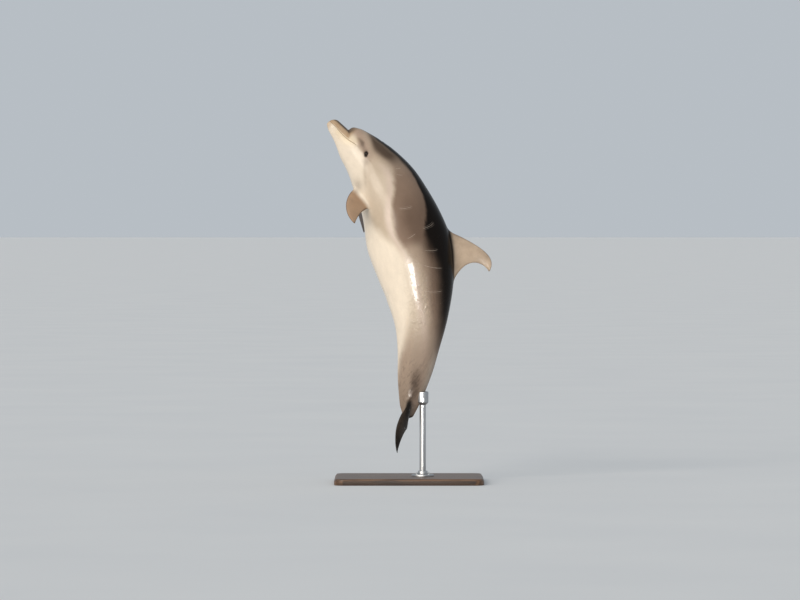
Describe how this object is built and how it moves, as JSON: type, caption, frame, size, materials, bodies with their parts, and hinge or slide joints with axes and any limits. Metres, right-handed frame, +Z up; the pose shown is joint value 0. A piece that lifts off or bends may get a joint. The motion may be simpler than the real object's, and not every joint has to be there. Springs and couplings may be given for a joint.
{
  "type": "bottlenose dolphin",
  "caption": "Life-size bottlenose dolphin leaping upright with an arched back and closed mouth, held by a plain display stand at its tail stock.",
  "frame": {"origin": "centre of the stand base's underside", "axes": "+Z up; the dolphin stands upright, head up, with its belly towards -X, its back and dorsal fin towards +X and its left side towards -Y"},
  "size_m": [1.1522, 0.82, 2.5402],
  "materials": {
    "skin": "smooth wet skin, cream below and brown-grey above",
    "eye": "polished, wet",
    "stand_wood": "dark stained oak, satin varnish",
    "stand_steel": "brushed"
  },
  "bodies": {
    "root": {"beak_upper": "skin", "beak_lower": "skin", "head": "skin", "neck": "skin", "chest": "skin", "trunk": "skin", "loin": "skin", "tail_stock": "skin", "dorsal_fin": "skin", "flipper_left": "skin", "flipper_right": "skin", "fluke_left": "skin", "fluke_right": "skin", "eye_left": "eye", "eye_right": "eye", "stand_base": "stand_wood", "stand_flange": "stand_steel", "stand_bolt_1": "stand_steel", "stand_bolt_2": "stand_steel", "stand_bolt_3": "stand_steel", "stand_bolt_4": "stand_steel", "stand_rod": "stand_steel", "stand_cup": "stand_steel"}
  },
  "joints": []
}
